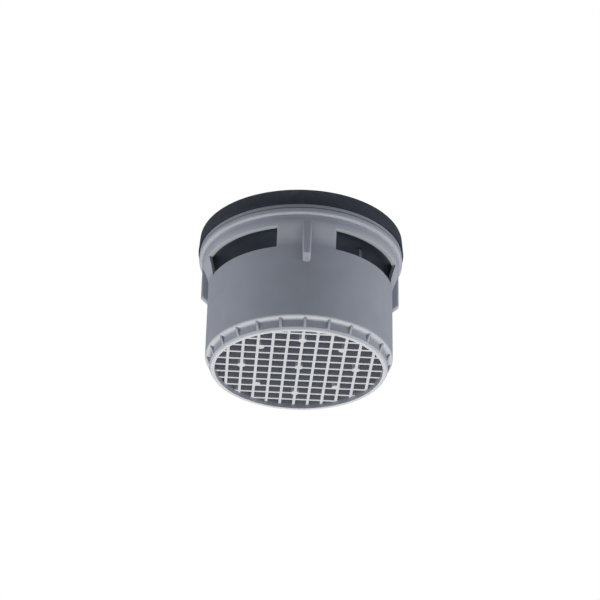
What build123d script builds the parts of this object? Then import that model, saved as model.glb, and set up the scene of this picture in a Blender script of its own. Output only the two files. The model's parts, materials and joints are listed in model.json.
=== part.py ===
"""Tap aerator: the insert cartridge that mixes air into the water at the end of a spout.

Millimetres, +Z up. Water runs down: strainer, jet plate, air windows, mixing grids, outlet lattice.
A cap ring holds the jet plate down on its shoulder, and the washer lies on the cap ring.
The cartridge stands on the ring round its outlet at Z = 0, and its lugs lie on the X and Y axes.
"""
import os
from math import degrees, radians, sqrt, tan

from build123d import *

os.makedirs("parts", exist_ok=True)

# Housing: radial sizes, from the sleeve inwards and outwards
body_r = 9.78           # outside of the plain sleeve
lip_wall = 0.30         # outer skin of the sleeve beside the rim pockets
pocket_w = 0.21         # width of the rim pockets
ring_bevel = 0.25       # bevel round the outside of the outlet ring
ring_land = 0.36        # flat that the cartridge stands on
flare = 0.74            # how far the wall above the windows stands out from the sleeve
ledge_w = 0.35          # width of the ledge under the flange
flange_bevel = 0.08     # lower edge of the flange
upper_wall = 0.48       # thickness of the pillars and of the wall above the windows
seat_wall = 0.24        # thickness of the wall beside the jet plate

# Housing: heights
lip_z = 1.00            # underside of the outer skin
lip_bevel = 0.30        # height of its bevel
pocket_depth = 1.40     # how far the pockets reach up from there
sill_z = 9.45           # lower edge of the air windows
window_h = 2.04         # height of the air windows
flare_h = 2.24          # height of the flare, from the same edge
brow_h = 1.00           # plain wall between the flare and the ledge
shoulder_h = 0.11       # height of the shoulder under the jet plate, above the flare
flange_t = 0.58         # thickness of the flange

# Housing: repeated features
pillar_w = 6.04         # front and back pillar between the windows, straight from front to back
side_pillar_w = 5.57    # left and right pillar, at the sleeve
side_slope = 40.0       # how far their sides turn away from the front, in degrees
lug_count = 4
lug_w = 0.86
lug_inset = 0.02        # how far the lugs stay behind the wall above the windows
lug_len = 4.16          # length of a lug along the sleeve, down from the top of the flare
lug_bevel = 0.66        # height of the bevel at its lower end
lug_edge = 0.26         # bevel on its two long edges
rib_count = 24
rib_t = 0.28

# Outlet lattice
bar_pitch = 1.49
bar_w = 0.31
lattice_z = 0.46        # how far the lattice lies above the ring
lattice_h = 2.00        # depth of its bars
pad_r = 0.43            # ejector pads on the bars, eight-sided to save faces
pad_sides = 8
pad_count = 8
pad_steps = 4           # radius of the circle of pads, in bar pitches

# Jet plate
seat_fit = 0.08         # radial play of the plate in the housing
jet_count = 12          # jets in one ring, each a short slot
jet_edge = 3.60         # from the cap ring to the jets
jet_w = 0.80            # radial width of a jet
jet_len = 0.95

# Cap ring
cap_inset = 0.03        # it ends this far inside the flange
cap_lap = 1.20          # how far it lies over the jet plate
cap_t = 0.48

# Strainer
sieve_lap = 0.50        # how far it lies on the cap ring
sieve_t = 0.60
slot_counts = (8, 12, 16)   # slots in each row, from the middle outwards
slot_hub_r = 1.30       # solid middle of the strainer
slot_gap = 0.60         # between two rows
slot_edge = 0.50        # from the cap ring to the outer row
slot_w = 0.60

# Washer
washer_over = 0.13      # how far it stands out past the flange
washer_t = 1.73
washer_taper = 0.14     # how much its radius shrinks towards the top
washer_fit = 0.05       # radial play round the strainer

# Mixing grids, spoked inserts without a rim
grid_fit = 0.10         # radial play in the sleeve
grid_h = 2.60           # height of one grid with its legs
spoke_count = 8
spoke_w = 0.50
spoke_h = 0.80
leg_count = 4           # legs under the spokes that lie over the middle bars of the lattice
hoop_r = 5.40           # corners of the hoop on the lower grid
post_count = 2
post_gap = 0.15         # play between the posts and the jet plate
post_deg = -45.0        # the first post stands in the middle of a window

# Radii and heights that follow
lip_in_r = body_r - lip_wall
ring_r = lip_in_r - pocket_w
land_r = ring_r - ring_bevel
bore_r = land_r - ring_land
upper_r = body_r + flare
shoulder_r = upper_r - upper_wall
seat_r = upper_r - seat_wall
flange_r = upper_r + ledge_w
lug_r = upper_r - lug_inset
lug_root_r = body_r - upper_wall / 2
lip_top_z = lip_z + lip_bevel
pocket_top_z = lip_z + pocket_depth
flare_z = sill_z + flare_h
shoulder_z = flare_z + shoulder_h
ledge_z = flare_z + brow_h
housing_h = ledge_z + flange_t
lug_low_z = flare_z - lug_len
lug_root_z = lug_low_z - (body_r - lug_root_r) * lug_bevel / (lug_r - body_r)
rib_deg = degrees(rib_t / ring_r)
pocket_deg = 360 / rib_count - rib_deg
side_lean = tan(radians(side_slope))
side_foot_x = sqrt(body_r**2 - (side_pillar_w / 2) ** 2) - side_pillar_w / 2 * side_lean
bar_count = 2 * int(bore_r / bar_pitch) + 1
lattice_r = bore_r + ring_land / 2
lattice_top_z = lattice_z + lattice_h

# A lug grows out of its pillar and runs up into the wall above
with BuildPart() as lug:
    with BuildSketch(Plane.XZ):
        with BuildLine():
            Polyline(
                (lug_root_r, lug_root_z),
                (lug_r, lug_low_z + lug_bevel),
                (lug_r, flare_z),
                (upper_r - upper_wall / 2, flare_z),
                (lug_root_r, sill_z),
                close=True,
            )
        make_face()
    extrude(amount=lug_w / 2, both=True)
    with BuildSketch(Plane.XY):
        with BuildLine():
            Polyline(
                (0, 0),
                (0, lug_w / 2),
                (lug_r - lug_edge, lug_w / 2),
                (lug_r, lug_w / 2 - lug_edge),
                (lug_r, 0),
                close=True,
            )
        make_face()
        mirror(about=Plane.XZ)
    extrude(amount=flare_z, mode=Mode.INTERSECT)

with BuildPart() as housing:
    # sleeve, flare and flange in one turned section, with the slope of the rim ribs at its foot
    with BuildSketch(Plane.XZ):
        with BuildLine():
            Polyline(
                (bore_r, 0),
                (land_r, 0),
                (ring_r, ring_bevel),
                (body_r, lip_top_z),
                (body_r, sill_z),
                (upper_r, flare_z),
                (upper_r, ledge_z),
                (flange_r - flange_bevel, ledge_z),
                (flange_r, ledge_z + flange_bevel),
                (flange_r, housing_h),
                (seat_r, housing_h),
                (seat_r, shoulder_z),
                (shoulder_r, shoulder_z),
                (shoulder_r, flare_z),
                (body_r - upper_wall, sill_z),
                (bore_r, sill_z),
                close=True,
            )
        make_face()
    revolve(axis=Axis.Z)

    # pockets between the ribs of the outlet rim, under the bevelled lip
    with BuildSketch(Plane.XZ, mode=Mode.PRIVATE) as pocket_section:
        with BuildLine():
            Polyline(
                (ring_r, 0),
                (ring_r, pocket_top_z),
                (lip_in_r, pocket_top_z),
                (lip_in_r, lip_z),
                (body_r, lip_top_z),
                (upper_r, lip_top_z),
                (upper_r, 0),
                close=True,
            )
        make_face()
    pocket = revolve(
        pocket_section.sketch, axis=Axis.Z, revolution_arc=pocket_deg, mode=Mode.PRIVATE
    )
    with PolarLocations(0, rib_count, start_angle=rib_deg / 2):
        add(pocket, mode=Mode.SUBTRACT)

    # air windows, two in front and two behind
    with BuildSketch(Plane.XY.offset(sill_z)):
        with BuildLine():
            Polyline(
                (pillar_w / 2, 0),
                (side_foot_x, 0),
                (side_foot_x + flange_r * side_lean, flange_r),
                (pillar_w / 2, flange_r),
                close=True,
            )
        make_face()
        mirror(about=Plane.YZ)
        mirror(about=Plane.XZ)
    extrude(amount=window_h, mode=Mode.SUBTRACT)

    # one lug on each pillar between the windows
    with PolarLocations(0, lug_count):
        add(lug)

    # square outlet lattice with its ejector pads
    with BuildSketch(Plane.XY.offset(lattice_z)):
        with GridLocations(bar_pitch, 0, bar_count, 1):
            Rectangle(bar_w, 2 * lattice_r)
        with GridLocations(0, bar_pitch, 1, bar_count):
            Rectangle(2 * lattice_r, bar_w)
        RegularPolygon(pad_r, pad_sides)
        with PolarLocations(pad_steps * bar_pitch, pad_count):
            RegularPolygon(pad_r, pad_sides)
        Circle(lattice_r, mode=Mode.INTERSECT)
    extrude(amount=lattice_h)

housing.part.label = "housing"
export_step(housing.part, "parts/housing.step")

# The jet plate lies on the shoulder, level with the top of the housing
plate_r = seat_r - seat_fit
cap_r = flange_r - cap_inset
cap_in_r = plate_r - cap_lap
cap_top_z = housing_h + cap_t

with BuildPart() as jet_plate:
    with BuildSketch(Plane.XY.offset(shoulder_z)):
        Circle(plate_r)
        with PolarLocations(cap_in_r - jet_edge, jet_count):
            Rectangle(jet_w, jet_len, align=(Align.MAX, Align.CENTER), mode=Mode.SUBTRACT)
    extrude(amount=housing_h - shoulder_z)

jet_plate.part.label = "jet_plate"
export_step(jet_plate.part, "parts/jet_plate.step")

with BuildPart() as cap_ring:
    with BuildSketch(Plane.XY.offset(housing_h)):
        Circle(cap_r)
        Circle(cap_in_r, mode=Mode.SUBTRACT)
    extrude(amount=cap_t)

cap_ring.part.label = "cap_ring"
export_step(cap_ring.part, "parts/cap_ring.step")

# The strainer lies on the cap ring
sieve_r = cap_in_r + sieve_lap
row_pitch = (cap_in_r - slot_edge - slot_hub_r + slot_gap) / len(slot_counts)

with BuildPart() as strainer:
    with BuildSketch(Plane.XY.offset(cap_top_z)):
        Circle(sieve_r)
        for row, slot_count in enumerate(slot_counts):
            with PolarLocations(slot_hub_r + row * row_pitch, slot_count):
                Rectangle(
                    row_pitch - slot_gap, slot_w, align=(Align.MIN, Align.CENTER), mode=Mode.SUBTRACT
                )
    extrude(amount=sieve_t)

strainer.part.label = "strainer"
export_step(strainer.part, "parts/strainer.step")

# The washer lies on the cap ring, round the strainer
washer_r = flange_r + washer_over
washer_in_r = sieve_r + washer_fit

with BuildPart() as washer:
    with BuildSketch(Plane.XZ):
        with BuildLine():
            Polyline(
                (washer_in_r, cap_top_z),
                (washer_r, cap_top_z),
                (washer_r - washer_taper, cap_top_z + washer_t),
                (washer_in_r, cap_top_z + washer_t),
                close=True,
            )
        make_face()
    revolve(axis=Axis.Z)

washer.part.label = "washer"
export_step(washer.part, "parts/washer.step")

# The mixing grids stand one on the other, on the middle bars of the outlet lattice
grid_r = bore_r - grid_fit
leg_r = grid_r - spoke_w
lower_top_z = lattice_top_z + grid_h
upper_top_z = lower_top_z + grid_h

with BuildPart() as lower_grid:
    with BuildSketch(Plane.XY.offset(lower_top_z - spoke_h)):
        RegularPolygon(hoop_r, spoke_count)
        RegularPolygon(hoop_r - spoke_w, spoke_count, mode=Mode.SUBTRACT)
        with PolarLocations(0, spoke_count // 2, angular_range=180):
            Rectangle(2 * grid_r, spoke_w)
    extrude(amount=spoke_h)
    with BuildSketch(Plane.XY.offset(lattice_top_z)):
        with PolarLocations(leg_r, leg_count):
            Rectangle(spoke_w, spoke_w)
    extrude(amount=grid_h - spoke_h)

lower_grid.part.label = "lower_grid"
export_step(lower_grid.part, "parts/lower_grid.step")

with BuildPart() as upper_grid:
    with BuildSketch(Plane.XY.offset(upper_top_z - spoke_h)):
        with PolarLocations(0, spoke_count // 2, angular_range=180):
            Rectangle(2 * grid_r, spoke_w)
    extrude(amount=spoke_h)
    with BuildSketch(Plane.XY.offset(lower_top_z)):
        with PolarLocations(leg_r, leg_count):
            Rectangle(spoke_w, spoke_w)
    extrude(amount=grid_h - spoke_h)
    # posts up to the jet plate, one of them in sight through a window
    with BuildSketch(Plane.XY.offset(upper_top_z)):
        with PolarLocations(leg_r, post_count, start_angle=post_deg):
            Rectangle(spoke_w, spoke_w)
    extrude(amount=shoulder_z - post_gap - upper_top_z)

upper_grid.part.label = "upper_grid"
export_step(upper_grid.part, "parts/upper_grid.step")
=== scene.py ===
"""Looks of a tap aerator cartridge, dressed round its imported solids.

Lengths are in millimetres until a mesh, a light or the camera is made, where MM turns them into
metres. Z is the axis of the cartridge, and its guide lugs lie on the X and Y axes.
"""

import json
import logging
import math
from collections.abc import Callable
from dataclasses import dataclass, field, replace
from enum import Enum

import bmesh
import bpy
from mathutils import Matrix, Quaternion, Vector

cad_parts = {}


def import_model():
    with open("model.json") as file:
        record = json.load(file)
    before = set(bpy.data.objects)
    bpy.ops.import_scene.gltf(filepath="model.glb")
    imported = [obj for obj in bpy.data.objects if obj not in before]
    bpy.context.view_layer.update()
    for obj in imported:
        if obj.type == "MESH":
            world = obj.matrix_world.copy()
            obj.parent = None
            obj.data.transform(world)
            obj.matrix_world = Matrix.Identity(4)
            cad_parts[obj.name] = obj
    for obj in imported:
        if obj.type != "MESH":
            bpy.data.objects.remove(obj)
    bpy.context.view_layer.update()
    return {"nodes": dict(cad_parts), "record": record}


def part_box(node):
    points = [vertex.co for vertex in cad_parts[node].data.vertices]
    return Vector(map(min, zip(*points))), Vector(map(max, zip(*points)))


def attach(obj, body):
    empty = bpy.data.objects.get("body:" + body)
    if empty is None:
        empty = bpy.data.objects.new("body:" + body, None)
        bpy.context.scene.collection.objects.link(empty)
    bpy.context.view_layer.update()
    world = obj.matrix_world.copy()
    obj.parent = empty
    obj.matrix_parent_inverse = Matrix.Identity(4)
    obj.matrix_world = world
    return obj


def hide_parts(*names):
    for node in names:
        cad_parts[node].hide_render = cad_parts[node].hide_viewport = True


MM = 0.001
BODY = "root"
SHARP_DEG = 40.0  # edges that turn by more than this are rounded
ROUND_PROFILE = 0.5  # profile of a round bevel
PAD_SIDES = 24  # sides of an ejector pad
DISC_SIDES = 180  # sides of a slotted plate
CUTTER_REACH = 3.0  # depth of a slot's cutter, in plate thicknesses
NOISE_SPAN = (0.3, 0.7)  # range that a noise mostly fills
STREAK_STRETCH = 40.0  # length of the mould's marks, in widths

Point = tuple[float, float]
Place = tuple[float, float, float]
Colour = tuple[float, float, float]

log = logging.getLogger("aerator")


class Slot(Enum):
    """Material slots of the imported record."""

    HOUSING = "housing"
    JET_PLATE = "jet_plate"
    CAP_RING = "cap_ring"
    WASHER = "washer"
    STRAINER = "strainer"
    GRIDS = "grids"


# Outlines and meshes


@dataclass(frozen=True)
class Corner:
    """One corner of a turned outline: radius, height, rounding and, where needed, a name."""

    r: float
    z: float
    rounding: float = 0.0
    mark: str = ""


@dataclass
class Outline:
    """A closed outline in radius and height, counterclockwise, with its corners rounded.

    Attributes:
        corners: Corners in order.
        arc_steps: Straight pieces in each rounded corner.
        points: Points of the whole outline.
        marks: Number of the first point of each named corner.
    """

    corners: list[Corner]
    arc_steps: int = 4
    points: list[Point] = field(init=False, default_factory=list)
    marks: dict[str, int] = field(init=False, default_factory=dict)

    def __post_init__(self) -> None:
        """Works out the points and where the marked corners lie among them."""
        count = len(self.corners)
        for index, corner in enumerate(self.corners):
            if corner.mark:
                self.marks[corner.mark] = len(self.points)
            before = self.corners[index - 1]
            after = self.corners[(index + 1) % count]
            self.points.extend(self._turn(before, corner, after))

    def _turn(self, before: Corner, corner: Corner, after: Corner) -> list[Point]:
        """Gives the points of one corner.

        Args:
            before: The corner before it.
            corner: The corner itself.
            after: The corner after it.

        Returns:
            The corner's own point, or the points of its arc.
        """
        here = Vector((corner.r, corner.z))
        if corner.rounding == 0.0:
            return [tuple(here)]
        back = (Vector((before.r, before.z)) - here).normalized()
        ahead = (Vector((after.r, after.z)) - here).normalized()
        half = back.angle(ahead) / 2
        reach = corner.rounding / math.tan(half)
        centre = here + (back + ahead).normalized() * (corner.rounding / math.sin(half))
        start = here + back * reach - centre
        end = here + ahead * reach - centre
        sweep = start.angle_signed(end)
        steps = range(self.arc_steps + 1)
        turns = (Matrix.Rotation(-sweep * step / self.arc_steps, 2) for step in steps)
        return [tuple(centre + turn @ start) for turn in turns]


def mesh_piece(name: str, bm: bmesh.types.BMesh) -> bpy.types.Object:
    """Turns a bmesh into a linked object at the origin.

    Args:
        name: Name of the piece.
        bm: Its mesh, which is freed.

    Returns:
        The new object.
    """
    mesh = bpy.data.meshes.new(name)
    bm.to_mesh(mesh)
    bm.free()
    piece = bpy.data.objects.new(name, mesh)
    bpy.context.scene.collection.objects.link(piece)
    return piece


def turned_ring(name: str, outline: Outline, columns: int) -> bpy.types.Object:
    """Turns an outline round the Z axis.

    Args:
        name: Name of the piece.
        outline: The ring's section.
        columns: Steps round the axis.

    Returns:
        The ring.
    """
    bm = bmesh.new()
    rows = polar_vertices(bm, outline.points, columns)
    for column in range(columns):
        for index in range(len(outline.points)):
            ring_quad(bm, rows, index, (index + 1) % len(outline.points), column)
    return mesh_piece(name, bm)


def even_step(angle: float, r: float) -> float:
    """Leaves a step round the axis where it is, at every radius."""
    return angle


def polar_vertices(
    bm: bmesh.types.BMesh,
    points: list[Point],
    columns: int,
    swing: Callable[[float, float], float] = even_step,
) -> list[list[bmesh.types.BMVert]]:
    """Makes the vertices of an outline at every step round the axis.

    Args:
        bm: The mesh that gets them.
        points: The outline's points.
        columns: Steps round the axis.
        swing: Gives the angle of a point from its even step and its radius.

    Returns:
        For each step, the vertices in the outline's order.
    """
    rows = []
    for column in range(columns):
        even = 2 * math.pi * column / columns
        turns = [swing(even, r) for r, _ in points]
        places = [(r * math.cos(a), r * math.sin(a), z) for (r, z), a in zip(points, turns)]
        rows.append([bm.verts.new(Vector(place) * MM) for place in places])
    return rows


def ring_quad(
    bm: bmesh.types.BMesh,
    rows: list[list[bmesh.types.BMVert]],
    first: int,
    second: int,
    column: int,
) -> None:
    """Adds the face between two outline points over one step, facing out of the outline.

    Args:
        bm: The mesh that gets it.
        rows: Vertices from polar_vertices.
        first: Index of the first outline point.
        second: Index of the point after it.
        column: The step's number.
    """
    here, there = rows[column], rows[(column + 1) % len(rows)]
    bm.faces.new((here[first], there[first], there[second], here[second]))


@dataclass
class Prism:
    """A straight bar on the X axis with a section in radius and height.

    Attributes:
        section: Corners of the section, counterclockwise.
        width: Size along Y at the foot of the section.
        draft: How much wider it gets for each millimetre of height.
        front_sides: How many sides of the section, from the first, have rounded long edges.
        rounding: Radius of those edges.
        arc_steps: Straight pieces in each rounding.
    """

    section: list[Point]
    width: float
    draft: float = 0.0
    front_sides: int = 0
    rounding: float = 0.0
    arc_steps: int = 5

    def build(self, name: str) -> bpy.types.Object:
        """Builds the bar.

        Args:
            name: Name of the piece.

        Returns:
            The bar.
        """
        bm = bmesh.new()
        near = self._side(bm, -0.5)
        far = self._side(bm, 0.5)
        bm.faces.new(near)
        bm.faces.new(reversed(far))
        for index in range(len(self.section)):
            after = (index + 1) % len(self.section)
            bm.faces.new((near[index], far[index], far[after], near[after]))
        if self.front_sides:
            fronts = range(self.front_sides)
            edges = [bm.edges.get((row[k], row[k + 1])) for row in (near, far) for k in fronts]
            bmesh.ops.bevel(
                bm,
                geom=edges,
                offset=self.rounding * MM,
                segments=self.arc_steps,
                profile=ROUND_PROFILE,
                affect="EDGES",
                clamp_overlap=True,
            )
        return mesh_piece(name, bm)

    def _side(self, bm: bmesh.types.BMesh, share: float) -> list[bmesh.types.BMVert]:
        """Makes the corners of one side.

        Args:
            bm: The mesh that gets them.
            share: Where the side lies, as a share of the width from the middle.

        Returns:
            The corners in the section's order.
        """
        foot = min(z for _, z in self.section)
        widths = [self.width + self.draft * (z - foot) for _, z in self.section]
        places = zip(self.section, widths)
        return [bm.verts.new(Vector((r, share * width, z)) * MM) for (r, z), width in places]


def soften(piece: bpy.types.Object, width: float, segments: int = 3) -> None:
    """Rounds the sharp edges of a piece and shades it smoothly.

    Args:
        piece: The piece.
        width: Size of the rounding.
        segments: Steps in the rounding.
    """
    piece.data.shade_smooth()
    bevel = piece.modifiers.new("edge_rounding", "BEVEL")
    bevel.width = width * MM
    bevel.segments = segments
    bevel.limit_method = "ANGLE"
    bevel.angle_limit = math.radians(SHARP_DEG)
    piece.modifiers.new("flat_faces", "WEIGHTED_NORMAL")


def dress(piece: bpy.types.Object, material: bpy.types.Material, slot: Slot, *nodes: str) -> None:
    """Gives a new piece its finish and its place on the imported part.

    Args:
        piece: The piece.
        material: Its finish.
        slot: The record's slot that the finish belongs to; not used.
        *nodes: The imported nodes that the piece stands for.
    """
    if material.name not in piece.data.materials:
        piece.data.materials.append(material)
    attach(piece, BODY)
    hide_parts(*nodes)
    log.info("%s: %d faces", piece.name, len(piece.data.polygons))


# Node trees


class NodeTree:
    """A node tree with a short way to add linked nodes."""

    def __init__(self, tree: bpy.types.NodeTree) -> None:
        """Keeps the tree."""
        self.tree = tree

    def add(self, kind: str, **sockets: object) -> bpy.types.Node:
        """Adds a node, with links or values for its inputs.

        Args:
            kind: Type of the node. Words after a colon set its operation.
            **sockets: Inputs by name, with _ for a blank, or by number as in i0.

        Returns:
            The node.
        """
        name, _, operation = kind.partition(":")
        node = self.tree.nodes.new(name)
        if operation:
            node.operation = operation
        for label, value in sockets.items():
            is_number = label[0] == "i" and label[1:].isdigit()
            key = int(label[1:]) if is_number else label.replace("_", " ")
            if isinstance(value, bpy.types.NodeSocket):
                self.tree.links.new(value, node.inputs[key])
            else:
                node.inputs[key].default_value = value
        return node

    def maths(self, operation: str, *values: object) -> bpy.types.NodeSocket:
        """Adds a Math node.

        Args:
            operation: What it works out.
            *values: Its inputs in order.

        Returns:
            The result.
        """
        sockets = {f"i{index}": value for index, value in enumerate(values)}
        return self.add(f"ShaderNodeMath:{operation}", **sockets).outputs[0]


class GeometryTree(NodeTree):
    """A Geometry Nodes tree with named inputs that ends in realised, painted geometry."""

    def __init__(self, name: str, inputs: dict[str, str], takes_mesh: bool = False) -> None:
        """Starts a tree.

        Args:
            name: Name of the tree.
            inputs: Input names with their socket types.
            takes_mesh: Whether the tree repeats the mesh of its own object.
        """
        super().__init__(bpy.data.node_groups.new(name, "GeometryNodeTree"))
        self.identifiers: dict[str, str] = {}
        interface = self.tree.interface
        if takes_mesh:
            interface.new_socket("Geometry", in_out="INPUT", socket_type="NodeSocketGeometry")
        for label, kind in {**inputs, "Material": "NodeSocketMaterial"}.items():
            socket = interface.new_socket(label, in_out="INPUT", socket_type=kind)
            self.identifiers[label] = socket.identifier
        interface.new_socket("Geometry", in_out="OUTPUT", socket_type="NodeSocketGeometry")
        self.source = self.tree.nodes.new("NodeGroupInput")
        self.target = self.tree.nodes.new("NodeGroupOutput")

    def value(self, label: str) -> bpy.types.NodeSocket:
        """Gives the socket of a named input."""
        return self.source.outputs[label]

    def vector(self, x: object = 0.0, y: object = 0.0, z: object = 0.0) -> bpy.types.NodeSocket:
        """Joins three values to a vector."""
        return self.add("ShaderNodeCombineXYZ", X=x, Y=y, Z=z).outputs[0]

    def spread(self, mesh: bpy.types.NodeSocket, count: object) -> bpy.types.NodeSocket:
        """Repeats a mesh round the Z axis.

        Args:
            mesh: The mesh.
            count: How often.

        Returns:
            The instances.
        """
        index = self.add("GeometryNodeInputIndex").outputs[0]
        step = self.maths("DIVIDE", 2 * math.pi, count)
        points = self.add("GeometryNodePoints", Count=count)
        turned = self.add(
            "GeometryNodeInstanceOnPoints",
            Points=points.outputs[0],
            Instance=mesh,
            Rotation=self.vector(z=self.maths("MULTIPLY", index, step)),
        )
        return turned.outputs[0]

    def gather(self, target: bpy.types.NodeSocket, parts: list[bpy.types.NodeSocket]) -> None:
        """Links several geometries to an input that takes many."""
        for part in parts:
            self.tree.links.new(part, target)

    def realise(self, instances: bpy.types.NodeSocket) -> bpy.types.NodeSocket:
        """Turns instances into plain geometry."""
        return self.add("GeometryNodeRealizeInstances", Geometry=instances).outputs[0]

    def move(self, mesh: bpy.types.NodeSocket, x: object, z: object) -> bpy.types.NodeSocket:
        """Moves a mesh along X and Z."""
        place = self.vector(x=x, z=z)
        return self.add("GeometryNodeTransform", Geometry=mesh, Translation=place).outputs[0]

    def end(self, geometry: bpy.types.NodeSocket) -> None:
        """Realises and paints the geometry and sends it out.

        Args:
            geometry: What the tree has made.
        """
        painted = self.add(
            "GeometryNodeSetMaterial",
            Geometry=self.realise(geometry),
            Material=self.value("Material"),
        )
        self.tree.links.new(painted.outputs[0], self.target.inputs[0])

    def bake(self, piece: bpy.types.Object, **values: object) -> bpy.types.Object:
        """Runs the tree on a piece and keeps its result as a plain mesh.

        Args:
            piece: The piece, whose mesh is replaced.
            **values: Inputs by name, with _ for a blank.

        Returns:
            The same piece.
        """
        modifier = piece.modifiers.new(self.tree.name, "NODES")
        modifier.node_group = self.tree
        for label, value in values.items():
            modifier[self.identifiers[label.replace("_", " ")]] = value
        evaluated = piece.evaluated_get(bpy.context.evaluated_depsgraph_get())
        baked = bpy.data.meshes.new_from_object(evaluated)
        piece.modifiers.remove(modifier)
        piece.data = baked
        baked.name = piece.name
        return piece


def empty_piece(name: str) -> bpy.types.Object:
    """Makes a piece with no mesh yet, for a tree that makes all of it."""
    return mesh_piece(name, bmesh.new())


def ring_tree() -> GeometryTree:
    """Builds the tree that repeats a piece round the axis.

    Returns:
        The tree.
    """
    tree = GeometryTree("repeat_round_axis", {"Count": "NodeSocketInt"}, takes_mesh=True)
    tree.end(tree.spread(tree.source.outputs["Geometry"], tree.value("Count")))
    return tree


def lattice_tree() -> GeometryTree:
    """Builds the tree of the square outlet lattice with its round ejector pads.

    Returns:
        The tree.
    """
    sizes = ("Pitch", "Bar Width", "Depth", "Base", "Radius", "Pad Radius", "Pad Circle")
    inputs = {label: "NodeSocketFloat" for label in sizes}
    inputs |= {label: "NodeSocketInt" for label in ("Bars", "Pads")}
    tree = GeometryTree("outlet_lattice", inputs)
    pitch, depth, bars = tree.value("Pitch"), tree.value("Depth"), tree.value("Bars")
    half_pitch = tree.maths("MULTIPLY", pitch, -0.5)
    first = tree.maths("MULTIPLY", tree.maths("SUBTRACT", bars, 1.0), half_pitch)
    middle = tree.maths("MULTIPLY_ADD", depth, 0.5, tree.value("Base"))
    line = tree.add(
        "GeometryNodeMeshLine",
        Count=bars,
        Start_Location=tree.vector(y=first, z=middle),
        Offset=tree.vector(y=pitch),
    )
    place = tree.add("ShaderNodeSeparateXYZ", i0=tree.add("GeometryNodeInputPosition").outputs[0])
    radius, aside = tree.value("Radius"), place.outputs["Y"]
    reach = tree.maths("MULTIPLY", radius, radius)
    chord = tree.maths("SQRT", tree.maths("SUBTRACT", reach, tree.maths("MULTIPLY", aside, aside)))
    bar = tree.add(
        "GeometryNodeInstanceOnPoints",
        Points=line.outputs[0],
        Instance=tree.add("GeometryNodeMeshCube").outputs[0],
        Scale=tree.vector(tree.maths("MULTIPLY", chord, 2.0), tree.value("Bar Width"), depth),
    )
    across = tree.realise(bar.outputs[0])
    turn = (0.0, 0.0, math.pi / 2)
    along = tree.add("GeometryNodeTransform", Geometry=across, Rotation=turn).outputs[0]
    pad = tree.add(
        "GeometryNodeMeshCylinder",
        Vertices=PAD_SIDES,
        Radius=tree.value("Pad Radius"),
        Depth=depth,
    ).outputs[0]
    centre = tree.move(pad, 0.0, middle)
    outer = tree.move(pad, tree.value("Pad Circle"), middle)
    ring = tree.realise(tree.spread(outer, tree.value("Pads")))
    whole = tree.add("GeometryNodeMeshBoolean:UNION")
    whole.solver = "EXACT"
    tree.gather(whole.inputs[1], [across, along, centre, ring])
    tree.end(whole.outputs[0])
    return tree


def slotted_disc_tree(rows: int) -> GeometryTree:
    """Builds the tree of a round plate with rows of radial slots.

    Args:
        rows: How many rows it can have.

    Returns:
        The tree.
    """
    sizes = ("Radius", "Thickness", "Base", "Slot Length", "Slot Width")
    inputs = {label: "NodeSocketFloat" for label in sizes}
    for row in range(1, rows + 1):
        inputs[f"Row {row} Radius"] = "NodeSocketFloat"
        inputs[f"Row {row} Count"] = "NodeSocketInt"
    tree = GeometryTree("slotted_disc", inputs)
    thickness = tree.value("Thickness")
    middle = tree.maths("MULTIPLY_ADD", thickness, 0.5, tree.value("Base"))
    disc = tree.add(
        "GeometryNodeMeshCylinder",
        Vertices=DISC_SIDES,
        Radius=tree.value("Radius"),
        Depth=thickness,
    )
    through = tree.maths("MULTIPLY", thickness, CUTTER_REACH)
    cutter = tree.add(
        "GeometryNodeMeshCube",
        Size=tree.vector(tree.value("Slot Length"), tree.value("Slot Width"), through),
    )
    cutters = tree.add("GeometryNodeJoinGeometry")
    rings = []
    for row in range(1, rows + 1):
        slot = tree.move(cutter.outputs[0], tree.value(f"Row {row} Radius"), middle)
        rings.append(tree.spread(slot, tree.value(f"Row {row} Count")))
    tree.gather(cutters.inputs[0], rings)
    cut = tree.add(
        "GeometryNodeMeshBoolean:DIFFERENCE",
        i0=tree.move(disc.outputs[0], 0.0, middle),
        i1=tree.realise(cutters.outputs[0]),
    )
    cut.solver = "EXACT"
    tree.end(cut.outputs[0])
    return tree


# Finishes


class ShaderTree(NodeTree):
    """The node tree of a material, of the world or of a shader group."""

    def ramp(self, value: bpy.types.NodeSocket, take: Point, give: Point) -> bpy.types.NodeSocket:
        """Maps a value from one range to another, smoothly and within limits.

        Args:
            value: The value.
            take: Start and end of its range.
            give: What they become.

        Returns:
            The mapped value.
        """
        (low, high), (start, end) = take, give
        node = self.add("ShaderNodeMapRange", i0=value, i1=low, i2=high, i3=start, i4=end)
        node.interpolation_type = "SMOOTHSTEP"
        return node.outputs[0]


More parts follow.
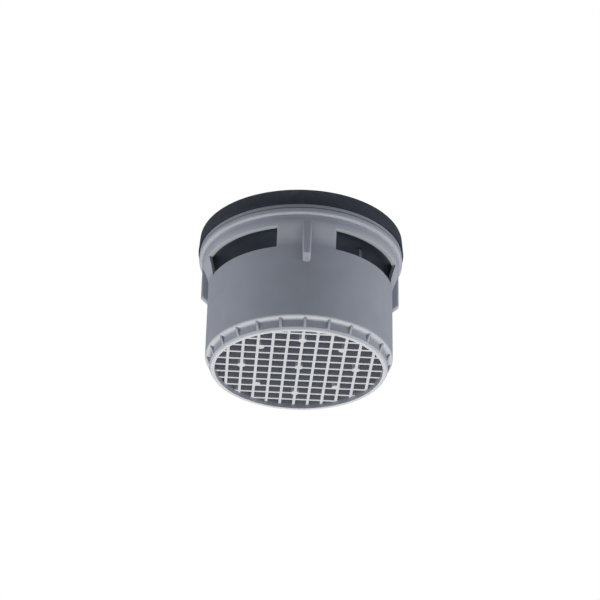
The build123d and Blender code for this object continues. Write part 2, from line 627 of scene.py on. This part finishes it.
def moulded_skin_group() -> bpy.types.NodeTree:
    """Builds the shared surface of every moulded piece.

    Mottle is soft and wide, Grain is the fine texture of the mould, and Streak follows the marks
    that the mould leaves along the axis when it opens.

    Returns:
        A shader group with the sizes of the three in metres as inputs and their values as outputs.
    """
    group = bpy.data.node_groups.new("moulded_skin", "ShaderNodeTree")
    # For each layer, the detail of its noise and its stretch along the axis
    layers = {"Mottle": (2.0, 1.0), "Grain": (3.0, 1.0), "Streak": (2.0, STREAK_STRETCH)}
    for label in layers:
        group.interface.new_socket(f"{label} Size", in_out="INPUT", socket_type="NodeSocketFloat")
        group.interface.new_socket(label, in_out="OUTPUT", socket_type="NodeSocketFloat")
    tree = ShaderTree(group)
    source = group.nodes.new("NodeGroupInput")
    target = group.nodes.new("NodeGroupOutput")
    place = tree.add("ShaderNodeTexCoord").outputs["Object"]
    for label, (detail, stretch) in layers.items():
        scale = tree.maths("DIVIDE", 1.0, source.outputs[f"{label} Size"])
        drawn = tree.add("ShaderNodeMapping", Vector=place, Scale=(1.0, 1.0, 1.0 / stretch))
        noise = tree.add("ShaderNodeTexNoise", Vector=drawn.outputs[0], Scale=scale, Detail=detail)
        spread = tree.ramp(noise.outputs[0], NOISE_SPAN, (0.0, 1.0))
        group.links.new(spread, target.inputs[label])
    return group


@dataclass(frozen=True)
class MouldedFinish:
    """Finish of a moulded piece, plastic or rubber.

    Attributes:
        name: Name of the material.
        colour: Base colour, linear.
        roughness: Middle roughness.
        mottle: Share by which the colour varies.
        gloss_spread: How far the roughness varies.
        mottle_size: Size of the colour patches.
        grain_size: Size of the grain.
        grain_depth: Height of the grain.
        streak_size: Width of the marks along the axis.
        streak_depth: Height of those marks, as a share of the grain's.
        specular: Specular level.
    """

    name: str
    colour: Colour
    roughness: float
    mottle: float = 0.03
    gloss_spread: float = 0.05
    mottle_size: float = 2.4
    grain_size: float = 0.10
    grain_depth: float = 0.0025
    streak_size: float = 0.16
    streak_depth: float = 0.3
    specular: float = 0.5

    def shade(self, share: float) -> tuple[float, float, float, float]:
        """Gives a share of the base colour, with full alpha."""
        return (*(part * share for part in self.colour), 1.0)

    def material(self, skin: bpy.types.NodeTree) -> bpy.types.Material:
        """Builds the material.

        Args:
            skin: The shared group from moulded_skin_group.

        Returns:
            The material.
        """
        made = bpy.data.materials.new(self.name)
        made.use_nodes = True
        tree = ShaderTree(made.node_tree)
        shader = made.node_tree.nodes["Principled BSDF"]
        surface = tree.add("ShaderNodeGroup")
        surface.node_tree = skin
        sizes = {"Mottle": self.mottle_size, "Grain": self.grain_size, "Streak": self.streak_size}
        for label, size in sizes.items():
            surface.inputs[f"{label} Size"].default_value = size * MM
        mottle, grain, streak = (surface.outputs[label] for label in sizes)
        # A Mix node's colours are its inputs 6 and 7 and its output 2
        dark, light = self.shade(1 - self.mottle), self.shade(1 + self.mottle)
        tint = tree.add("ShaderNodeMix", i0=mottle, i6=dark, i7=light)
        tint.data_type = "RGBA"
        both = tree.maths("MULTIPLY", mottle, streak)
        dull, bright = self.roughness + self.gloss_spread, self.roughness - self.gloss_spread
        gloss = tree.ramp(both, (0.0, 1.0), (dull, bright))
        relief = tree.maths("MULTIPLY_ADD", streak, self.streak_depth, grain)
        bump = tree.add("ShaderNodeBump", Distance=self.grain_depth * MM, Height=relief)
        links = made.node_tree.links
        links.new(tint.outputs[2], shader.inputs["Base Color"])
        links.new(gloss, shader.inputs["Roughness"])
        links.new(bump.outputs[0], shader.inputs["Normal"])
        shader.inputs["Specular IOR Level"].default_value = self.specular
        return made


HOUSING_PLASTIC = MouldedFinish("grey_moulded_plastic", (0.372, 0.390, 0.443), 0.58, specular=0.42)
CAP_PLASTIC = MouldedFinish("cap_ring_plastic", (0.33, 0.35, 0.385), 0.50)
# Near-black jet plate: partly dark plastic, partly painted shade for the dim inside seen through the
# air windows
PLATE_PLASTIC_AND_PAINTED_SHADE = MouldedFinish("jet_plate_plastic_and_painted_shade", (0.054, 0.067, 0.092), 0.50)
STRAINER_PLASTIC = MouldedFinish("strainer_plastic", (0.40, 0.41, 0.44), 0.48)
GRID_PLASTIC = MouldedFinish("mixing_grid_plastic", (0.13, 0.14, 0.16), 0.50)
WASHER_RUBBER = MouldedFinish(
    "black_washer_rubber",
    (0.013, 0.018, 0.033),
    0.55,
    mottle=0.15,
    gloss_spread=0.08,
    mottle_size=0.9,
    grain_size=0.06,
    grain_depth=0.006,
    streak_depth=0.1,
)


# The cartridge


@dataclass(frozen=True)
class FrameSizes:
    """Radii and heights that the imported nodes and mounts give."""

    ledge_z: float
    flange_r: float
    housing_top: float
    plate_r: float
    plate_z: float
    cap_r: float
    cap_top: float
    sieve_r: float
    sieve_top: float
    washer_r: float
    washer_top: float

    @classmethod
    def read(cls, record: dict) -> "FrameSizes":
        """Reads the sizes from the loaded frame.

        Args:
            record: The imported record.

        Returns:
            The sizes in millimetres.
        """
        nodes = ("housing", "jet_plate", "cap_ring", "strainer", "washer")
        low = {node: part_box(node)[0] / MM for node in nodes}
        high = {node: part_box(node)[1] / MM for node in nodes}
        ledge = next(mount for mount in record["mounts"] if mount["name"] == "ledge")
        return cls(
            ledge_z=ledge["pos_m"][2] / MM,
            flange_r=high["housing"].x,
            housing_top=high["housing"].z,
            plate_r=high["jet_plate"].x,
            plate_z=low["jet_plate"].z,
            cap_r=high["cap_ring"].x,
            cap_top=high["cap_ring"].z,
            sieve_r=high["strainer"].x,
            sieve_top=high["strainer"].z,
            washer_r=high["washer"].x,
            washer_top=high["washer"].z,
        )


@dataclass
class Housing:
    """The grey moulding: sleeve, air windows, lugs, flange, ribbed rim and outlet lattice."""

    sizes: FrameSizes
    material: bpy.types.Material
    columns: int = 240
    sleeve_r: float = 9.78
    rim_w: float = 0.51  # from the sleeve's outside in to the outlet ring
    lip_top: float = 1.25  # where the slope of the lip meets the sleeve
    lip_drop: float = 0.15  # fall of that slope on its way in
    pocket_scoop: float = 0.16  # hollow between lip and ring
    bevel_w: float = 0.16  # bevel round the outside of the outlet ring
    bevel_h: float = 0.28
    ring_land: float = 0.37  # flat that the cartridge stands on
    flare: float = 0.74  # widening above the sleeve
    flare_h: float = 2.75
    upper_wall: float = 0.48  # thickness beside the windows
    seat_wall: float = 0.24  # thickness round the jet plate
    sill_z: float = 9.45  # foot of the air windows and of the flare
    window_h: float = 2.04
    window_steps: int = 14  # rows of faces beside a window
    over_steps: int = 6  # rows above it, to the end of the flare
    pillar_w: float = 6.04  # front and back pillar
    side_pillar_w: float = 5.57  # left and right pillar
    side_slope: float = 40.0  # slope of that pillar's sides, in degrees
    jamb_deg: float = 18.0  # half of a pillar, in even steps
    lug_count: int = 4
    lug_w: float = 0.78
    lug_draft: float = 0.045  # widening per millimetre of height
    lug_inset: float = 0.02  # from the flare's outside in to a lug's face
    lug_z: float = 7.53  # foot of the lugs
    lug_bevel: float = 0.66  # height of the slope at that foot
    lug_rounding: float = 0.27
    rib_count: int = 24
    rib_t: float = 0.28
    rib_inset: float = 0.13  # from the sleeve's outside in to a rib's upper end
    bar_pitch: float = 1.49
    bar_w: float = 0.29
    lattice_z: float = 0.46
    lattice_h: float = 2.00
    pad_r: float = 0.43
    pad_count: int = 8
    pad_steps: int = 4  # bars from the middle to the ring of pads
    sunk: float = 0.10  # reach of ribs and bars into the wall
    crease: float = 0.05  # rounding of inner corners
    edge: float = 0.06
    flange_edge: float = 0.20
    lip_edge: float = 0.32
    ring_edge: float = 0.14

    def __post_init__(self) -> None:
        """Works out the radii and heights that follow."""
        self.ring_r = self.sleeve_r - self.rim_w
        self.pocket_top = self.lip_top - self.lip_drop
        self.land_r = self.ring_r - self.bevel_w
        self.bore_r = self.land_r - self.ring_land
        self.upper_r = self.sleeve_r + self.flare
        self.seat_r = self.upper_r - self.seat_wall
        self.flare_z = self.sill_z + self.flare_h
        side_turn = math.asin(self.side_pillar_w / 2 / self.sleeve_r) + math.radians(self.side_slope)
        self.side_reach = self.sleeve_r * math.cos(side_turn)

    def build(self, ring: GeometryTree) -> None:
        """Builds and dresses every piece of the housing.

        Args:
            ring: The tree that repeats a piece round the axis.
        """
        shell = self.shell()
        soften(shell, self.crease)
        lugs = ring.bake(self.lug(), Count=self.lug_count, Material=self.material)
        soften(lugs, self.edge)
        ribs = ring.bake(self.rib(), Count=self.rib_count, Material=self.material)
        soften(ribs, self.crease)
        lattice = self.lattice()
        soften(lattice, self.edge, segments=2)
        for piece in (shell, lugs, ribs, lattice):
            dress(piece, self.material, Slot.HOUSING, "housing")

    def outline(self) -> Outline:
        """Gives the wall's section through a pillar, as thick all the way up the flare.

        Returns:
            The outline, with the windows' foot outside and their top inside marked.
        """
        sizes = self.sizes
        over = (self.flare_h - self.window_h) / self.over_steps
        rises = [self.window_h * k / self.window_steps for k in range(self.window_steps + 1)]
        inner = [Corner(self.wall_r(z) - self.upper_wall, self.sill_z + z) for z in reversed(rises)]
        rises += [self.window_h + over * k for k in range(1, self.over_steps + 1)]
        outer = [Corner(self.wall_r(z), self.sill_z + z) for z in rises]
        outer[0] = replace(outer[0], mark="outer_low")
        inner[0] = replace(inner[0], mark="inner_high")
        shoulder_r = self.wall_r(sizes.plate_z - self.sill_z) - self.upper_wall
        return Outline(
            [
                Corner(self.bore_r, 0.0, self.edge),
                Corner(self.land_r, 0.0, self.ring_edge),
                Corner(self.ring_r, self.bevel_h, self.ring_edge),
                Corner(self.ring_r, self.pocket_top, self.pocket_scoop),
                Corner(self.sleeve_r, self.lip_top, self.lip_edge),
                *outer,
                Corner(self.upper_r, sizes.ledge_z, self.crease),
                Corner(sizes.flange_r, sizes.ledge_z, self.flange_edge),
                Corner(sizes.flange_r, sizes.housing_top, self.edge),
                Corner(self.seat_r, sizes.housing_top, self.crease),
                Corner(self.seat_r, sizes.plate_z),
                Corner(shoulder_r, sizes.plate_z, self.crease),
                *inner,
                Corner(self.bore_r, self.sill_z, self.crease),
            ]
        )

    def wall_r(self, rise: float) -> float:
        """Gives the outer radius on the flare, an easy S, at a height above the windows' sill."""
        share = min(rise / self.flare_h, 1.0)
        return self.sleeve_r + self.flare * share * share * (3 - 2 * share)

    def shell(self) -> bpy.types.Object:
        """Builds the turned wall with its air windows.

        Returns:
            The wall.
        """
        outline = self.outline()
        count, steps = len(outline.points), self.window_steps
        foot = outline.marks["inner_high"] + steps
        outer = [outline.marks["outer_low"] + k for k in range(steps + 1)]
        inner = [foot - k for k in range(steps + 1)]
        cut_away = {*outer[:-1], *inner[1:]}
        bm = bmesh.new()
        rows = polar_vertices(bm, outline.points, self.columns, self.swing)
        for column in range(self.columns):
            is_open = self.in_window(column)
            for index in range(count):
                if not (is_open and index in cut_away):
                    ring_quad(bm, rows, index, (index + 1) % count, column)
            if is_open:
                ring_quad(bm, rows, outer[0], inner[0], column)
                ring_quad(bm, rows, inner[-1], outer[-1], column)
            if is_open != self.in_window(column - 1):
                self.jamb(bm, rows[column], outer, inner, is_open)
        bmesh.ops.delete(bm, geom=[v for v in bm.verts if not v.link_faces], context="VERTS")
        return mesh_piece("housing_shell", bm)

    def in_window(self, column: int) -> bool:
        """Tells whether a step round the axis lies in an air window."""
        turn = ((column + 0.5) * 360 / self.columns) % 90
        return self.jamb_deg < turn < 90 - self.jamb_deg

    def swing(self, angle: float, r: float) -> float:
        """Shifts a step round the axis, so that the sides of the windows come out straight.

        The front and back pillar have sides that run straight to the back. The sides of the left
        and right pillar slope away from them.

        Args:
            angle: Even step round the axis, in radians.
            r: Radius of the point.

        Returns:
            The angle of the point.
        """
        quarter = math.pi / 2
        turns, inside = divmod(angle, quarter)
        is_mirrored = turns % 2 == 1
        even = quarter - inside if is_mirrored else inside
        jamb = math.radians(self.jamb_deg)
        side = math.acos(self.side_reach / r) - math.radians(self.side_slope)
        front = quarter - math.asin(self.pillar_w / 2 / r)
        if even <= jamb:
            place = even * side / jamb
        elif even < quarter - jamb:
            place = side + (even - jamb) * (front - side) / (quarter - 2 * jamb)
        else:
            place = quarter - (quarter - even) * (quarter - front) / jamb
        return turns * quarter + (quarter - place if is_mirrored else place)

    def jamb(
        self,
        bm: bmesh.types.BMesh,
        row: list[bmesh.types.BMVert],
        outer: list[int],
        inner: list[int],
        opens: bool,
    ) -> None:
        """Closes the side of a pillar where a window starts or ends.

        Args:
            bm: The mesh that gets the faces.
            row: The outline's vertices at that side.
            outer: Indices of the outer wall, upwards.
            inner: Indices of the inner wall, upwards.
            opens: Whether the window starts here.
        """
        for k in range(len(outer) - 1):
            corners = [row[index] for index in (outer[k], outer[k + 1], inner[k + 1], inner[k])]
            bm.faces.new(reversed(corners) if opens else corners)

    def lug(self) -> bpy.types.Object:
        """Builds one guide lug on the X axis, which runs up into the wall above the windows.

        Returns:
            The lug.
        """
        depth = self.upper_wall / 2
        root, tip = self.sleeve_r - depth, self.upper_r - self.lug_inset
        section = [
            (root, self.lug_z - depth * self.lug_bevel / (tip - self.sleeve_r)),
            (tip, self.lug_z + self.lug_bevel),
            (tip, self.flare_z),
            (self.upper_r - depth, self.flare_z),
            (root, self.sill_z),
        ]
        bar = Prism(section, self.lug_w, self.lug_draft, front_sides=2, rounding=self.lug_rounding)
        return bar.build("guide_lugs")

    def rib(self) -> bpy.types.Object:
        """Builds one rib of the outlet rim on the X axis.

        Returns:
            The rib.
        """
        section = [
            (self.ring_r - self.sunk, self.bevel_h),
            (self.ring_r, self.bevel_h),
            (self.sleeve_r - self.rib_inset, self.lip_top),
            (self.ring_r - self.sunk, self.lip_top),
        ]
        return Prism(section, self.rib_t).build("rim_ribs")

    def lattice(self) -> bpy.types.Object:
        """Builds the square outlet lattice with its pads.

        Returns:
            The lattice.
        """
        return lattice_tree().bake(
            empty_piece("outlet_lattice"),
            Pitch=self.bar_pitch * MM,
            Bar_Width=self.bar_w * MM,
            Depth=self.lattice_h * MM,
            Base=self.lattice_z * MM,
            Radius=(self.bore_r + self.sunk) * MM,
            Pad_Radius=self.pad_r * MM,
            Pad_Circle=self.pad_steps * self.bar_pitch * MM,
            Bars=2 * int(self.bore_r / self.bar_pitch) + 1,
            Pads=self.pad_count,
            Material=self.material,
        )


@dataclass
class JetPlate:
    """The plate on the shoulder of the housing, with a ring of jets. Its near-black colour is partly
    its own dark plastic and partly painted shade for the dim inside of the housing.
    """

    sizes: FrameSizes
    hole_r: float
    material: bpy.types.Material
    jet_count: int = 12
    jet_edge: float = 3.60  # from the cap ring's hole in to the jets
    jet_w: float = 0.80  # along the radius
    jet_len: float = 0.95
    edge: float = 0.05

    def build(self, disc: GeometryTree) -> None:
        """Builds and dresses the plate.

        Args:
            disc: The tree of a slotted plate.
        """
        sizes = self.sizes
        piece = disc.bake(
            empty_piece("jet_plate_disc"),
            Radius=sizes.plate_r * MM,
            Thickness=(sizes.housing_top - sizes.plate_z) * MM,
            Base=sizes.plate_z * MM,
            Slot_Length=self.jet_w * MM,
            Slot_Width=self.jet_len * MM,
            Row_1_Radius=(self.hole_r - self.jet_edge - self.jet_w / 2) * MM,
            Row_1_Count=self.jet_count,
            Material=self.material,
        )
        soften(piece, self.edge, segments=2)
        dress(piece, self.material, Slot.JET_PLATE, "jet_plate")


@dataclass
class CapRing:
    """The grey ring that holds the jet plate down, with a fine open seam above the flange."""

    sizes: FrameSizes
    material: bpy.types.Material
    columns: int = 240
    lap: float = 1.20  # cover over the jet plate
    seam_h: float = 0.09
    seam_depth: float = 0.30
    edge: float = 0.05

    @property
    def hole_r(self) -> float:
        """Radius of its hole."""
        return self.sizes.plate_r - self.lap

    def build(self) -> None:
        """Builds and dresses the ring."""
        sizes = self.sizes
        seam_r, seam_top = sizes.cap_r - self.seam_depth, sizes.housing_top + self.seam_h
        outline = Outline(
            [
                Corner(self.hole_r, sizes.housing_top, self.edge),
                Corner(seam_r, sizes.housing_top),
                Corner(seam_r, seam_top),
                Corner(sizes.cap_r, seam_top, self.edge),
                Corner(sizes.cap_r, sizes.cap_top, self.edge),
                Corner(self.hole_r, sizes.cap_top, self.edge),
            ]
        )
        ring = turned_ring("cap_ring_band", outline, self.columns)
        soften(ring, self.edge / 2)
        dress(ring, self.material, Slot.CAP_RING, "cap_ring")


@dataclass
class Strainer:
    """The slotted plate on the cap ring."""

    sizes: FrameSizes
    hole_r: float
    material: bpy.types.Material
    slot_counts: tuple[int, int, int] = (8, 12, 16)
    hub_r: float = 1.30  # solid middle
    slot_gap: float = 0.60  # between two rows
    slot_edge: float = 0.50  # from the cap ring's hole in to the outer row
    slot_w: float = 0.60
    edge: float = 0.06

    def build(self, disc: GeometryTree) -> None:
        """Builds and dresses the strainer.

        Args:
            disc: The tree of a slotted plate.
        """
        pitch = (self.hole_r - self.slot_edge - self.hub_r + self.slot_gap) / len(self.slot_counts)
        length = pitch - self.slot_gap
        rows: dict[str, object] = {}
        for row, count in enumerate(self.slot_counts):
            rows[f"Row_{row + 1}_Radius"] = (self.hub_r + row * pitch + length / 2) * MM
            rows[f"Row_{row + 1}_Count"] = count
        piece = disc.bake(
            empty_piece("strainer_plate"),
            Radius=self.sizes.sieve_r * MM,
            Thickness=(self.sizes.sieve_top - self.sizes.cap_top) * MM,
            Base=self.sizes.cap_top * MM,
            Slot_Length=length * MM,
            Slot_Width=self.slot_w * MM,
            Material=self.material,
            **rows,
        )
        soften(piece, self.edge, segments=2)
        dress(piece, self.material, Slot.STRAINER, "strainer")


@dataclass
class Washer:
    """The rubber ring that seals against the spout."""

    sizes: FrameSizes
    material: bpy.types.Material
    columns: int = 240
    fit: float = 0.05  # gap round the strainer
    taper: float = 0.14  # narrowing up to its top
    edge: float = 0.08

    def build(self) -> None:
        """Builds and dresses the washer."""
        sizes = self.sizes
        inner = sizes.sieve_r + self.fit
        outline = Outline(
            [
                Corner(inner, sizes.cap_top, self.edge),
                Corner(sizes.washer_r, sizes.cap_top, self.edge),
                Corner(sizes.washer_r - self.taper, sizes.washer_top, self.edge),
                Corner(inner, sizes.washer_top, self.edge),
            ]
        )
        ring = turned_ring("rubber_washer", outline, self.columns)
        soften(ring, self.edge / 4)
        dress(ring, self.material, Slot.WASHER, "washer")


@dataclass
class MixingGrids:
    """The two spoked inserts in the sleeve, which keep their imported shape."""

    nodes: dict[str, bpy.types.Object]
    material: bpy.types.Material
    edge: float = 0.05
    weld: float = 0.001  # points closer than this are one

    def build(self) -> None:
        """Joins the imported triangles, rounds their edges and paints them."""
        for name in ("lower_grid", "upper_grid"):
            node = self.nodes[name]
            node.data.materials.clear()
            node.data.materials.append(self.material)
            weld = node.modifiers.new("joined_triangles", "WELD")
            weld.merge_threshold = self.weld * MM
            soften(node, self.edge, segments=2)
            log.info("%s: packed shape", name)


# The studio


@dataclass(frozen=True)
class Softbox:
    """A soft area light.

    Attributes:
        name: Name of the light.
        place: Where it stands.
        power: Its power in watts.
        colour: Its colour.
        width: Its size from side to side.
        height: Its size the other way.
        mirrored: Whether glossy surfaces mirror it.
    """

    name: str
    place: Place
    power: float
    colour: Colour
    width: float = 160.0
    height: float = 160.0
    mirrored: bool = True

    def build(self, target: Vector) -> None:
        """Makes the light and turns it to the target.

        Args:
            target: Point that it faces, in millimetres.
        """
        lamp = bpy.data.lights.new(self.name, "AREA")
        lamp.shape = "RECTANGLE"
        lamp.size = self.width * MM
        lamp.size_y = self.height * MM
        lamp.energy = self.power
        lamp.color = self.colour
        holder = bpy.data.objects.new(self.name, lamp)
        holder.location = Vector(self.place) * MM
        holder.rotation_mode = "QUATERNION"
        holder.rotation_quaternion = (target - Vector(self.place)).to_track_quat("-Z", "Y")
        holder.visible_glossy = self.mirrored
        bpy.context.scene.collection.objects.link(holder)


WARM_WHITE: Colour = (1.0, 0.953, 0.834)
COOL_WHITE: Colour = (0.915, 0.945, 1.0)

SOFTBOXES = (
    Softbox("under_light", (0.0, 30.0, -342.0), 1.88, WARM_WHITE, 258.0, 154.0, mirrored=False),
    Softbox("left_light", (-350.0, 0.0, 0.0), 0.35, COOL_WHITE),
    Softbox("right_light", (350.0, 0.0, 0.0), 0.37, COOL_WHITE),
    Softbox("low_left_light", (-152.0, -88.0, -303.0), 0.14, COOL_WHITE),
    Softbox("right_front_light", (303.0, -175.0, 0.0), 0.15, COOL_WHITE),
    Softbox("top_light", (0.0, 0.0, 400.0), 1.0, COOL_WHITE, 300.0, 300.0),
)


@dataclass
class Studio:
    """Pale floor, soft light and the camera at the photograph's angle."""

    camera_place: Place = (-10.06, -171.81, -88.26)
    camera_target: Place = (0.0, 0.0, 8.53)
    camera_roll: float = 1.133  # degrees
    lens: float = 111.67
    sensor: float = 36.0
    floor_size: float = 800.0
    floor_colour: Colour = (0.92, 0.90, 0.86)
    floor_roughness: float = 0.9
    floor_fade: Point = (40.0, 260.0)  # where it starts to fade, and where it ends
    backdrop: Colour = (1.0, 1.0, 1.0)
    fill: float = 0.262  # strength of the even light

    def build(self) -> None:
        """Builds the whole stage."""
        self.camera()
        self.floor()
        self.world()
        for softbox in SOFTBOXES:
            softbox.build(Vector(self.camera_target))
        bpy.context.scene.view_settings.view_transform = "Standard"

    def camera(self) -> None:
        """Makes the camera, which looks up at the outlet."""
        data = bpy.data.cameras.new("camera")
        data.lens = self.lens
        data.sensor_width = self.sensor
        data.clip_start = MM
        holder = bpy.data.objects.new("camera", data)
        place = Vector(self.camera_place)
        aim = (Vector(self.camera_target) - place).to_track_quat("-Z", "Y")
        roll = Quaternion((0.0, 0.0, 1.0), math.radians(self.camera_roll))
        holder.location = place * MM
        holder.rotation_mode = "QUATERNION"
        holder.rotation_quaternion = aim @ roll
        bpy.context.scene.collection.objects.link(holder)
        bpy.context.scene.camera = holder

    def floor(self) -> None:
        """Makes the floor, which fades into the backdrop and isn't seen from below."""
        bm = bmesh.new()
        bmesh.ops.create_grid(bm, x_segments=1, y_segments=1, size=self.floor_size / 2 * MM)
        floor = mesh_piece("floor", bm)
        material = bpy.data.materials.new("pale_floor")
        material.use_nodes = True
        tree = ShaderTree(material.node_tree)
        shader = material.node_tree.nodes["Principled BSDF"]
        shader.inputs["Base Color"].default_value = (*self.floor_colour, 1.0)
        shader.inputs["Roughness"].default_value = self.floor_roughness
        clear = tree.add("ShaderNodeBsdfTransparent")
        place = tree.add("ShaderNodeTexCoord").outputs["Object"]
        reach = tree.add("ShaderNodeVectorMath:LENGTH", i0=place).outputs["Value"]
        near, far = self.floor_fade
        fade = tree.ramp(reach, (near * MM, far * MM), (0.0, 1.0))
        back = tree.add("ShaderNodeNewGeometry").outputs["Backfacing"]
        hidden = tree.maths("MAXIMUM", back, fade)
        mix = tree.add("ShaderNodeMixShader", i0=hidden, i1=shader.outputs[0], i2=clear.outputs[0])
        output = material.node_tree.nodes["Material Output"]
        material.node_tree.links.new(mix.outputs[0], output.inputs["Surface"])
        floor.data.materials.append(material)
        floor.visible_diffuse = False
        floor.visible_glossy = False
        floor.visible_transmission = False
        floor.visible_shadow = False

    def world(self) -> None:
        """Makes a white backdrop for the camera and an even fill light."""
        world = bpy.data.worlds.new("studio")
        world.use_nodes = True
        tree = ShaderTree(world.node_tree)
        fill = world.node_tree.nodes["Background"]
        fill.inputs["Color"].default_value = (*COOL_WHITE, 1.0)
        fill.inputs["Strength"].default_value = self.fill
        white = tree.add("ShaderNodeBackground", Color=(*self.backdrop, 1.0), Strength=1.0)
        seen = tree.add("ShaderNodeLightPath").outputs["Is Camera Ray"]
        mix = tree.add("ShaderNodeMixShader", i0=seen, i1=fill.outputs[0], i2=white.outputs[0])
        output = world.node_tree.nodes["World Output"]
        world.node_tree.links.new(mix.outputs[0], output.inputs["Surface"])
        bpy.context.scene.world = world


def main() -> None:
    """Loads the frame, builds the pieces in order and sets the stage."""
    logging.basicConfig(level=logging.INFO, format="%(name)s: %(message)s")
    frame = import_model()
    sizes = FrameSizes.read(frame["record"])
    skin = moulded_skin_group()
    housing = Housing(sizes, HOUSING_PLASTIC.material(skin))
    cap = CapRing(sizes, CAP_PLASTIC.material(skin))
    plate = JetPlate(sizes, cap.hole_r, PLATE_PLASTIC_AND_PAINTED_SHADE.material(skin))
    strainer = Strainer(sizes, cap.hole_r, STRAINER_PLASTIC.material(skin))
    ring, disc = ring_tree(), slotted_disc_tree(len(strainer.slot_counts))
    housing.build(ring)
    plate.build(disc)
    cap.build()
    strainer.build(disc)
    Washer(sizes, WASHER_RUBBER.material(skin)).build()
    MixingGrids(frame["nodes"], GRID_PLASTIC.material(skin)).build()
    Studio().build()


if __name__ == "__main__":
    main()
